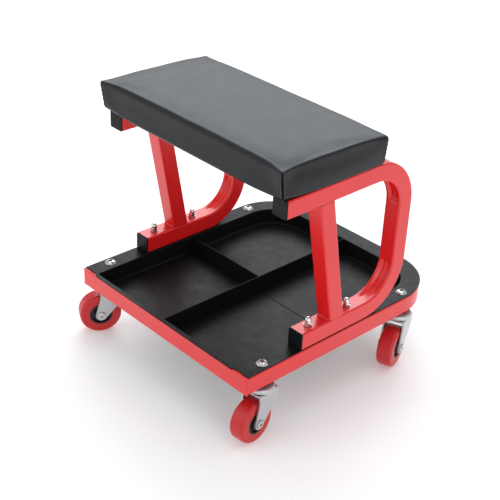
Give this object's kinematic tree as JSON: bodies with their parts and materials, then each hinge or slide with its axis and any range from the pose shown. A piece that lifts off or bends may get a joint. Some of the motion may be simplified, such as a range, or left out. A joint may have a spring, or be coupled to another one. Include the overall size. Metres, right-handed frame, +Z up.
{
  "type": "mechanics creeper",
  "caption": "Rolling mechanic's seat: padded bench on two bent square-tube legs over a black tool tray in a red tube base on swivel casters.",
  "frame": {"origin": "on the floor under the middle of the base frame", "axes": "+X to the sitter's left-to-right span (the seat's long way), -Y the open front, +Z up"},
  "size_m": [0.3924, 0.4106, 0.397],
  "materials": {
    "red_paint": "gloss",
    "black_paint": "semi-gloss",
    "cap_plastic": "matte",
    "bright_chrome": "polished",
    "zinc_fasteners": "bright zinc",
    "zinc_plate": "zinc plated",
    "ball_steel": "polished",
    "plywood": "raw",
    "seat_vinyl": "satin vinyl",
    "hub_plastic": "matte",
    "red_tread": "satin polyurethane"
  },
  "bodies": {
    "root": {"base_tube": "red_paint", "front_rail": "red_paint", "left_leg": "red_paint", "left_strut": "red_paint", "right_leg": "red_paint", "right_strut": "red_paint", "tray": "black_paint", "long_divider": "black_paint", "cross_divider": "black_paint", "left_upper_cap": "cap_plastic", "left_lower_cap": "cap_plastic", "right_upper_cap": "cap_plastic", "right_lower_cap": "cap_plastic", "left_dome_nuts": "bright_chrome", "right_dome_nuts": "bright_chrome", "left_leg_bolts": "zinc_fasteners", "left_leg_washers": "zinc_fasteners", "right_leg_bolts": "zinc_fasteners", "right_leg_washers": "zinc_fasteners", "seat_screws": "zinc_fasteners", "caster_bolts": "zinc_fasteners", "spacer_nuts": "zinc_fasteners", "kingpin_nuts": "zinc_fasteners", "seat_board": "plywood", "seat_pad": "seat_vinyl", "front_left_raceway": "zinc_plate", "front_right_raceway": "zinc_plate", "rear_left_raceway": "zinc_plate", "rear_right_raceway": "zinc_plate"},
    "front_left_swivel": {"front_left_balls": "ball_steel", "front_left_fork": "zinc_plate", "front_left_axle": "zinc_fasteners", "front_left_bush": "ball_steel"},
    "front_left_wheel": {"front_left_hub": "hub_plastic", "front_left_tread": "red_tread"},
    "front_right_swivel": {"front_right_balls": "ball_steel", "front_right_fork": "zinc_plate", "front_right_axle": "zinc_fasteners", "front_right_bush": "ball_steel"},
    "front_right_wheel": {"front_right_hub": "hub_plastic", "front_right_tread": "red_tread"},
    "rear_left_swivel": {"rear_left_balls": "ball_steel", "rear_left_fork": "zinc_plate", "rear_left_axle": "zinc_fasteners", "rear_left_bush": "ball_steel"},
    "rear_left_wheel": {"rear_left_hub": "hub_plastic", "rear_left_tread": "red_tread"},
    "rear_right_swivel": {"rear_right_balls": "ball_steel", "rear_right_fork": "zinc_plate", "rear_right_axle": "zinc_fasteners", "rear_right_bush": "ball_steel"},
    "rear_right_wheel": {"rear_right_hub": "hub_plastic", "rear_right_tread": "red_tread"}
  },
  "joints": [
    {"name": "front_left_turn", "type": "hinge", "parent": "root", "child": "front_left_swivel", "pos_m": [-0.1665, -0.1603, 0.0755], "axis": [0, 0, 1], "continuous": true},
    {"name": "front_left_roll", "type": "hinge", "parent": "front_left_swivel", "child": "front_left_wheel", "pos_m": [-0.17467, -0.17634, 0.03175], "axis": [0.891, -0.454, 0], "continuous": true},
    {"name": "front_right_turn", "type": "hinge", "parent": "root", "child": "front_right_swivel", "pos_m": [0.1665, -0.1603, 0.0755], "axis": [0, 0, 1], "continuous": true},
    {"name": "front_right_roll", "type": "hinge", "parent": "front_right_swivel", "child": "front_right_wheel", "pos_m": [0.16869, -0.17817, 0.03175], "axis": [0.9925, 0.1219, 0], "continuous": true},
    {"name": "rear_left_turn", "type": "hinge", "parent": "root", "child": "rear_left_swivel", "pos_m": [-0.1665, 0.1207, 0.0755], "axis": [0, 0, 1], "continuous": true},
    {"name": "rear_left_roll", "type": "hinge", "parent": "rear_left_swivel", "child": "rear_left_wheel", "pos_m": [-0.17495, 0.10481, 0.03175], "axis": [0.8829, -0.4695, 0], "continuous": true},
    {"name": "rear_right_turn", "type": "hinge", "parent": "root", "child": "rear_right_swivel", "pos_m": [0.1665, 0.1207, 0.0755], "axis": [0, 0, 1], "continuous": true},
    {"name": "rear_right_roll", "type": "hinge", "parent": "rear_right_swivel", "child": "rear_right_wheel", "pos_m": [0.17266, 0.10379, 0.03175], "axis": [0.9397, 0.342, 0], "continuous": true}
  ]
}
